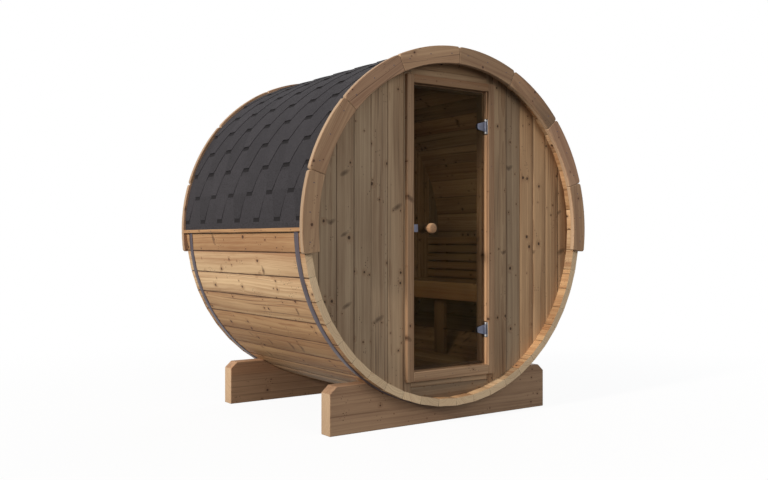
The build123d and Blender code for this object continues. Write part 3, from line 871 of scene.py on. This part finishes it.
caps = Jig("ridge_caps", {
    "Caps": 11,
    "Exposure": SHINGLE_EXPOSURE,
    "Width": 0.30,
    "Tab length": 0.24,
    "Gauge": ROOF_GAUGE,
    "Radius": ROOF_RADIUS + 2 * ROOF_GAUGE,
    "Half length": roof_high.y,
    "Seed": 3,
    "Finish": shingles.sizes["Finish"],
})
cap = sheet_of(caps, lambda up: caps.size("Width"), caps.size("Tab length"), 9, 3)
first = (caps.index() - 0.6) * caps.size("Exposure") - caps.size("Half length")
row = caps.lay(cap, caps.places(caps.size("Caps"), 0.0, first, 0.0))
x, y, z = caps.split(caps.add("GeometryNodeInputPosition"))
_, own_up, _ = caps.split(caps.stored("lap"))
radius = caps.size("Radius") + (1 - own_up / caps.size("Tab length")) * 2 * caps.size("Gauge") + z
roll(caps, row, x / caps.size("Radius") + math.pi / 2, radius, y)

half_turn = Matrix.Rotation(math.pi, 4, "Z")
for side, turned in (("left", Matrix()), ("right", half_turn)):
    starter = shingles.grow(
        f"{side}_starter_strip",
        Courses=1,
        Tabs=1,
        Pitch=0.0,
        Foot=2 * roof_high.y,
        Full=2 * roof_high.y,
        Lap_side=SHINGLE_PITCH / 2,
        Lap_rise=EAVE - FIRST_FOOT + SHINGLE_EXPOSURE,
        Gauge=2 * ROOF_GAUGE,
        Laps=0.0,
        First=EAVE,
    )
    courses = shingles.grow(f"{side}_shingle_courses", Seed=len(side))
    for piece in (starter, courses):
        piece.data.transform(axis @ turned)
        settle(piece, "sauna", "roof_shingle", f"roof_{side}")
ridge = caps.grow("ridge_caps")
ridge.data.transform(axis)
settle(ridge, "sauna", "roof_shingle", "roof_left", "roof_right")


# Battens and fascias: a planed softwood strip under each edge of the roofing, and boards
# sawn to a curve and screwed to the stave ends, which cover the edge of the shingles.
FASCIA_PALE, FASCIA_DARK = shade(198, 162, 132), shade(146, 110, 88)
FASCIA_OLIVE = (0.88, 0.91, 0.86)
fascia_look = {"cast": FASCIA_OLIVE, "sawn_lift": 0.76}
fascia_wood = timber("fascia_wood", FASCIA_PALE, FASCIA_DARK, shade(66, 44, 33), **fascia_look)
batten_wood = timber("batten_wood", shade(194, 151, 107), shade(148, 106, 70), shade(66, 44, 33))
for side in ("left", "right"):
    node = f"{side}_batten"
    batten = eased(f"{node}_strip", node, batten_wood, arris=0.002, seed=60 + len(side))
    settle(batten, "sauna", "fascia_wood", node)
    for end in ("front", "rear"):
        node = f"{end}_fascia_{side}"
        seed = 70 + len(node)
        # The sawn edges of the fascias are paler as sawn wood and as a painted highlight along their rims.
        boards = eased(f"{node}_boards", node, fascia_wood, arris=0.003, seed=seed, sawn_and_highlit_edges=1.0)
        settle(boards, "sauna", "fascia_wood", node)


# Screws: small stainless heads, each pressed with a round drive. They hold the fascias on the
# stave ends, the battens under the roofing and the casings round the door.
screws = Jig("screw_heads", {
    "Places": None,
    "Head": 0.0035,
    "Proud": 0.0012,
    "Drive": 0.5,
    "Finish": hoop_steel,
})
head = screws.add(
    "GeometryNodeMeshCone",
    {"fill_type": "NGON"},
    {
        "Vertices": 16,
        "Radius Top": screws.size("Head") * 0.8,
        "Radius Bottom": screws.size("Head"),
        "Depth": screws.size("Proud"),
    },
    out="Mesh",
)


def pressed(head, face, depth):
    """A face of a screw head pushed along its normal, with walls round it."""
    sockets = {"Mesh": head, "Selection": face, "Offset Scale": depth, "Individual": False}
    return screws.add("GeometryNodeExtrudeMesh", {"mode": "FACES"}, sockets, out="Mesh")


drive = pressed(head, head.other("Top"), 0.0)
bottom = drive.other("Top")
narrowed = screws.add(
    "GeometryNodeScaleElements",
    {"domain": "FACE"},
    {"Geometry": drive, "Selection": bottom, "Scale": screws.size("Drive")},
)
sunk = pressed(narrowed, bottom, screws.size("Proud") * -0.8)
facing = screws.add(
    "FunctionNodeAlignRotationToVector", {"axis": "Z"}, {"Vector": screws.stored("facing")}
)
driven = {"Points": screws.size("Places"), "Instance": sunk, "Rotation": facing}
screws.close(screws.add("GeometryNodeInstanceOnPoints", sockets=driven))


def drive_screws(name, body, slot, spots, **sizes):
    """Screw heads at spots, each of them a place and the way that the head faces."""
    mesh = bpy.data.meshes.new(name)
    mesh.from_pydata([place for place, _ in spots], [], [])
    mark(mesh, "facing", [way for _, way in spots])
    settle(screws.grow(name, mesh, **sizes), body, slot)


def spaced(low, high, count, margin):
    """Evenly spaced values between two ends, kept a margin away from them."""
    return np.linspace(low + margin, high - margin, count)


FASCIA_BOARDS = 4
FASCIA_FOOT, FASCIA_STEP = math.radians(-7.89), math.radians(24.47)
SCREW_SHARES = (0.14, 0.5, 0.86)
screw_radius = STAVE_RADIUS - STAVE_THICKNESS / 2
turns = [board + share for board in range(FASCIA_BOARDS) for share in SCREW_SHARES]
bearings = [FASCIA_FOOT + turn * FASCIA_STEP for turn in turns]
for end, way in (("front", -1), ("rear", 1)):
    low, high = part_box(f"{end}_fascia_left")
    face = low.y if way < 0 else high.y
    spots = []
    for bearing in bearings:
        across, up = screw_radius * math.cos(bearing), AXIS_HEIGHT + screw_radius * math.sin(bearing)
        spots += [((across * hand, face, up), (0, way, 0)) for hand in (-1, 1)]
    drive_screws(f"{end}_fascia_screws", "sauna", "hoop_steel", spots)
for side, way in (("left", -1), ("right", 1)):
    low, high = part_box(f"{side}_batten")
    face = low.x if way < 0 else high.x
    spots = [((face, y, (low.z + high.z) / 2), (way, 0, 0)) for y in spaced(low.y, high.y, 5, 0.09)]
    drive_screws(f"{side}_batten_screws", "sauna", "hoop_steel", spots, Head=0.003)
spots = []
for board in casing_tones_and_shade:
    low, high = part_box(board)
    middle = (low + high) / 2
    if high.z - low.z > high.x - low.x:
        spots += [((middle.x, low.y, z), (0, -1, 0)) for z in spaced(low.z, high.z, 5, 0.12)]
    else:
        spots += [((x, low.y, middle.z), (0, -1, 0)) for x in spaced(low.x, high.x, 3, 0.08)]
drive_screws("casing_screws", "sauna", "hoop_steel", spots, Head=0.0022, Proud=0.0006)


# Door leaf: one sheet of tinted toughened glass with no frame of its own, drilled for the
# hinge clamps and the knobs. It closes against the jambs and swings outwards.
def tinted_glass():
    """Smoked glass, its colour mottled lighter and darker as painted reflection, with faint smears in its
    gloss; what is behind it shows dimly.
    """
    material, n = finish("tinted_glass")
    place = n.add("ShaderNodeTexCoord", out="Object")
    smears_and_painted_reflection = n.noise(place, (7, 7, 3), 5.0)
    # The lighter mottling of the colour is painted reflection; the same noise gives the smears in the
    # roughness.
    colour = n.mix(n.rise(smears_and_painted_reflection, 0.35, 0.7), shade(24, 19, 8), shade(56, 45, 23))
    roughness = 0.02 + n.rise(smears_and_painted_reflection, 0.55, 0.8) * 0.05
    n.surface(Base_Color=colour, Roughness=roughness, Specular_IOR_Level=0.04, Alpha=0.42)
    return material


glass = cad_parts["door_glass"]
glass.data.materials.clear()
glass.data.materials.append(tinted_glass())


# Hinges and catch: stainless clamps on the glass with plates on the casing's edge,
# and a folded steel clip on the free edge for the catch.
# The plates' steel is a lighter copy of the hinge steel: painted sunlight on the plates.
plate_steel_painted_sunlit = steel("plate_steel_painted_sunlit", shade(170, 170, 172), (30, 30, 700), 0.3)
hinge_steel = steel("hinge_steel", shade(104, 108, 124), (30, 30, 700), 0.34)
plates = eased("hinge_plate_pair", "hinge_plates", plate_steel_painted_sunlit, arris=0.0006)
settle(plates, "sauna", "hinge_steel", "hinge_plates")
clamps = eased("hinge_clamp_pair", "hinge_clamps", hinge_steel, arris=0.0008)
settle(clamps, "door", "hinge_steel", "hinge_clamps")
clip = eased("catch_clip_fold", "catch_clip", hinge_steel, arris=0.0006)
settle(clip, "door", "hinge_steel", "catch_clip")
CLAMP_PLATE = 0.0053
BOLT_INSET = 0.017
front_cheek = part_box("door_glass")[0].y - CLAMP_PLATE
clamp_mesh = bmesh.new()
clamp_mesh.from_mesh(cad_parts["hinge_clamps"].data)
bmesh.ops.remove_doubles(clamp_mesh, verts=clamp_mesh.verts, dist=SAME_SPOT)
clamp_points = [np.array([v.co for v in group]) for group in loose_pieces(clamp_mesh)]
clamp_mesh.free()
bolts = []
for points in clamp_points:
    low, high = points.min(0), points.max(0)
    up = (low[2] + high[2]) / 2
    bolts.append(((low[0] + BOLT_INSET, front_cheek, up), (0, -1, 0)))
    bolts.append(((low[0] + BOLT_INSET, high[1], up), (0, 1, 0)))
drive_screws("hinge_clamp_bolts", "door", "hinge_steel", bolts, Head=0.006, Proud=0.0025, Finish=hinge_steel)


# Knobs: turned from pale softwood, with a waist at the glass and a rounded rim,
# bolted to each other through the leaf.
knob_wood = timber("knob_wood", shade(204, 168, 131), shade(164, 124, 90), shade(96, 62, 40), knots=0.0)
KNOB_PITH = Vector((0.01, 0.0, 0.02))
KNOB_TURNS = 64
CURVE_STEPS = 8
RIM_ROUNDING = 0.009
FOOT_SHARE = 10 / 28.5
FLARE_START, FLARE_END = 26 / 66, 42 / 66


def turned_knob(name, node, outwards):
    """A knob turned about Y, foot on the glass, from the box of the piece that it stands for."""
    low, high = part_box(node)
    middle = (low + high) / 2
    rim = (high.x - low.x) / 2
    glass_low, glass_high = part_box("door_glass")
    foot = glass_low.y if outwards < 0 else glass_high.y
    length = (foot - low.y) if outwards < 0 else (high.y - foot)
    profile = [(0.0, 0.0), (rim * FOOT_SHARE, 0.0)]
    for i in range(CURVE_STEPS + 1):
        share = i / CURVE_STEPS
        swell = share * share * (3 - 2 * share)
        reach = rim * (FOOT_SHARE + (1 - FOOT_SHARE) * swell)
        profile.append((reach, length * (FLARE_START + (FLARE_END - FLARE_START) * share)))
    for i in range(CURVE_STEPS + 1):
        bend = i / CURVE_STEPS * math.pi / 2
        inset, short = 1 - math.cos(bend), 1 - math.sin(bend)
        profile.append((rim - RIM_ROUNDING * inset, length - RIM_ROUNDING * short))
    profile.append((0.0, length))
    bm = bmesh.new()
    line = [bm.verts.new((middle.x + r, foot + outwards * y, middle.z)) for r, y in profile]
    edges = [bm.edges.new(pair) for pair in zip(line, line[1:])]
    centre = (middle.x, 0, middle.z)
    bmesh.ops.spin(bm, geom=line + edges, cent=centre, axis=(0, 1, 0), angle=math.tau, steps=KNOB_TURNS)
    bmesh.ops.remove_doubles(bm, verts=bm.verts, dist=1e-6)
    bmesh.ops.recalc_face_normals(bm, faces=bm.faces)
    mesh = bpy.data.meshes.new(name)
    bm.to_mesh(mesh)
    bm.free()
    mesh.shade_smooth()
    mesh.set_sharp_from_angle(angle=math.radians(35))
    pith = Vector((middle.x, 0.0, middle.z)) - KNOB_PITH
    mark(mesh, "grain", [v.co - pith for v in mesh.vertices])
    mark(mesh, "tone", [0.5] * len(mesh.vertices))
    mesh.materials.append(knob_wood)
    settle(stand(name, mesh), "door", "knob_wood", node)


turned_knob("door_knob_turning", "door_knob", -1)
turned_knob("inner_knob_turning", "inner_knob", 1)


# Studio: a pale floor that keeps the shadow, a white background, one broad far lamp on the
# left, weaker ones in front and behind, a small one inside the barrel, and the camera.
def seen_rays(n):
    """1 for what the camera sees, straight or in metal and glass, and 0 for scattered light."""
    path = n.add("ShaderNodeLightPath", out="Is Camera Ray")
    shiny = n.maths("MAXIMUM", path.other("Is Glossy Ray"), path.other("Is Transmission Ray"))
    return n.maths("MAXIMUM", path, shiny)


FLOOR_GLOW = 0.93
FLOOR_REACH = 40.0
SHADOW_REACH, WHITE_FROM = 1.6, 4.5
floor_paint, n = finish("studio_floor")
away = n.vector("LENGTH", n.add("ShaderNodeTexCoord", out="Object")).other("Value")
matt = n.add("ShaderNodeBsdfDiffuse", sockets={"Color": shade(78, 78, 78)})
glow = n.add("ShaderNodeEmission", sockets={"Color": (1, 1, 1, 1), "Strength": FLOOR_GLOW})
white = n.add("ShaderNodeEmission", sockets={"Color": (1, 1, 1, 1), "Strength": 1.0})
near = n.add("ShaderNodeAddShader", sockets={0: matt, 1: glow})
shown = n.add("ShaderNodeMixShader", sockets={0: n.rise(away, SHADOW_REACH, WHITE_FROM), 1: near, 2: white})
floor_shader = n.add("ShaderNodeMixShader", sockets={0: seen_rays(n), 1: matt, 2: shown})
n.add("ShaderNodeOutputMaterial", sockets={"Surface": floor_shader})
corners = [(x * FLOOR_REACH, y * FLOOR_REACH, 0) for x, y in ((-1, -1), (1, -1), (1, 1), (-1, 1))]
floor_mesh = bpy.data.meshes.new("studio_floor")
floor_mesh.from_pydata(corners, [], [(0, 1, 2, 3)])
floor_mesh.materials.append(floor_paint)
studio_floor = stand("studio_floor", floor_mesh)
studio_floor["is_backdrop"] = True

world = bpy.data.worlds.new("studio")
world.use_nodes = True
world.node_tree.nodes.clear()
n = Nodes(world.node_tree)
ambient = n.add("ShaderNodeBackground", sockets={"Color": shade(236, 243, 252), "Strength": 0.38})
white = n.add("ShaderNodeBackground", sockets={"Color": (1, 1, 1, 1), "Strength": 1.0})
sky = n.add("ShaderNodeMixShader", sockets={0: seen_rays(n), 1: ambient, 2: white})
n.add("ShaderNodeOutputWorld", sockets={"Surface": sky})
bpy.context.scene.world = world


def lamp(name, kind, place, target, strength, colour, **shape):
    """A soft lamp that points from a place at a target."""
    data = bpy.data.lights.new(name, kind)
    data.energy = strength
    data.color = colour[:3]
    for label, value in shape.items():
        setattr(data, label, value)
    light = stand(name, data)
    light.location = place
    light.visible_camera = False
    light.rotation_euler = (Vector(target) - Vector(place)).to_track_quat("-Z", "Y").to_euler()


middle = (0, 0, AXIS_HEIGHT)
inside = (-0.50, -0.50, AXIS_HEIGHT + 0.45)
bench = (0.55, 0.10, AXIS_HEIGHT - 0.15)
lamp("key_lamp", "SUN", (-9.0, -1.1, 4.6), middle, 2.85, shade(255, 242, 226), angle=math.radians(7))
lamp("front_lamp", "AREA", (-0.6, -6.4, 3.0), middle, 82, shade(252, 244, 232), size=3.0)
lamp("back_lamp", "AREA", (6.4, 4.6, 3.2), middle, 160, shade(240, 246, 255), size=3.0)
beam = {"spot_size": math.radians(110), "spot_blend": 0.9, "shadow_soft_size": 0.15}
lamp("inside_lamp", "SPOT", inside, bench, 16, shade(255, 238, 205), **beam)

CAMERA_PLACE = (-3.306, -4.684, 1.039)
CAMERA_YAW = math.radians(35.33)
SENSOR_WIDTH, LENS = 36.0, 42.37
camera_data = bpy.data.cameras.new("camera")
camera_data.sensor_width = SENSOR_WIDTH
camera_data.lens = LENS
camera = stand("camera", camera_data)
camera.location = CAMERA_PLACE
camera.rotation_euler = (math.pi / 2, 0, -CAMERA_YAW)
bpy.context.scene.camera = camera
bpy.context.scene.view_settings.view_transform = "Standard"

[[list(corner) for corner in box] for box in (cad_bounds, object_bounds())]
